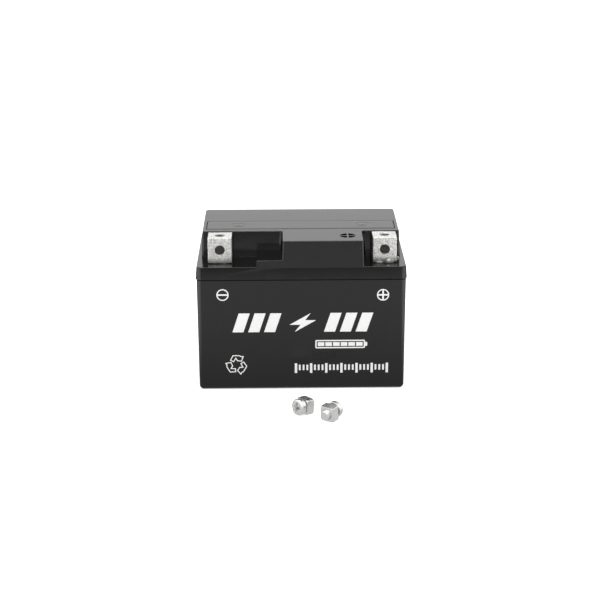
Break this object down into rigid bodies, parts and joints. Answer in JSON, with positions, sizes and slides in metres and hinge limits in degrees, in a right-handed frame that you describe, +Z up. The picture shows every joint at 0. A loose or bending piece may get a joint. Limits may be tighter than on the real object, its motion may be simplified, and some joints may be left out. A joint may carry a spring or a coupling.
{
  "type": "motorcycle battery",
  "caption": "Small sealed black motorcycle battery with a stepped lid, corner lead terminals, a flush cover strip and loose terminal screws and nuts.",
  "frame": {"origin": "centre of the container's flat underside", "axes": "+Z up; -Y is the front face, which the terminals' front holes face; +X is towards the positive terminal"},
  "size_m": [0.114, 0.1193, 0.085],
  "materials": {
    "container_plastic": "satin black moulded plastic",
    "lid_plastic": "glossy black moulded plastic",
    "terminal_lead": "mottled tinned cast lead",
    "post_lead": "dull cast lead",
    "zinc_steel": "bright zinc plate",
    "valve_rubber": "matt black rubber",
    "seal_resin": "cast resin",
    "positive_plate": "matt brown pasted plate",
    "negative_plate": "matt grey pasted plate",
    "separator_mat": "white glass-fibre mat"
  },
  "bodies": {
    "battery": {"container": "container_plastic", "lid": "lid_plastic", "valve_cap_1": "valve_rubber", "valve_cap_2": "valve_rubber", "valve_cap_3": "valve_rubber", "valve_cap_4": "valve_rubber", "valve_cap_5": "valve_rubber", "valve_cap_6": "valve_rubber", "cell_1_positive_plates": "positive_plate", "cell_1_negative_plates": "negative_plate", "cell_1_separator": "separator_mat", "cell_2_positive_plates": "positive_plate", "cell_2_negative_plates": "negative_plate", "cell_2_separator": "separator_mat", "cell_3_positive_plates": "positive_plate", "cell_3_negative_plates": "negative_plate", "cell_3_separator": "separator_mat", "cell_4_positive_plates": "positive_plate", "cell_4_negative_plates": "negative_plate", "cell_4_separator": "separator_mat", "cell_5_positive_plates": "positive_plate", "cell_5_negative_plates": "negative_plate", "cell_5_separator": "separator_mat", "cell_6_positive_plates": "positive_plate", "cell_6_negative_plates": "negative_plate", "cell_6_separator": "separator_mat", "intercell_link_1": "post_lead", "intercell_link_2": "post_lead", "intercell_link_3": "post_lead", "intercell_link_4": "post_lead", "intercell_link_5": "post_lead", "terminal_negative": "terminal_lead", "post_negative": "post_lead", "post_seal_negative": "seal_resin", "terminal_positive": "terminal_lead", "post_positive": "post_lead", "post_seal_positive": "seal_resin"},
    "cover_strip": {"cap_strip": "lid_plastic"},
    "left_nut": {"nut_left": "zinc_steel"},
    "left_screw": {"screw_left": "zinc_steel"},
    "right_nut": {"nut_right": "zinc_steel"},
    "right_screw": {"screw_right": "zinc_steel"}
  },
  "joints": [
    {"name": "cover_strip_lift", "type": "slide", "parent": "battery", "child": "cover_strip", "axis": [0, 0, 1], "range_m": [0, 0.02]},
    {"name": "left_nut_lift", "type": "slide", "parent": "battery", "child": "left_nut", "axis": [0, 0, 1], "range_m": [0, 0.02]},
    {"name": "left_screw_draw", "type": "slide", "parent": "left_nut", "child": "left_screw", "axis": [-0.7528, -0.6544, 0.0712], "range_m": [0, 0.012]},
    {"name": "right_nut_lift", "type": "slide", "parent": "battery", "child": "right_nut", "axis": [0, 0, 1], "range_m": [0, 0.02]},
    {"name": "right_screw_draw", "type": "slide", "parent": "right_nut", "child": "right_screw", "axis": [0.6005, 0.7969, 0.0654], "range_m": [0, 0.012]}
  ]
}
